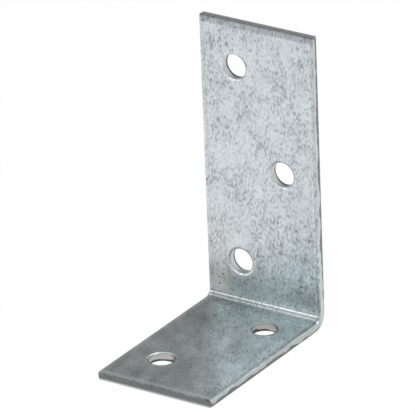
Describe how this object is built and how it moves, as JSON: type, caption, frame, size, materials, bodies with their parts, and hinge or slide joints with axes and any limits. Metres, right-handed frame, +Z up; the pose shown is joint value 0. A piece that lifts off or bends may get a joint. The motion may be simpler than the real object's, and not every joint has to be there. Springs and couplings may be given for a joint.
{
  "type": "corner brace bracket",
  "caption": "Unequal-leg corner brace folded from a galvanised sheet strip, with a square inside angle and staggered round screw holes in both legs.",
  "frame": {"origin": "middle of the underside's bounding rectangle, which is under the middle of the short leg", "axes": "+Z up the long leg, +Y towards the long leg's outer face, +X across the strip, to the right seen from the short leg's free end"},
  "size_m": [0.025, 0.04, 0.06],
  "materials": {
    "galvanised_steel": "galvanised sheet, satin and finely mottled, with bare sheared edges and punched hole walls"
  },
  "bodies": {
    "root": {"folded_strip": "galvanised_steel"}
  },
  "joints": []
}
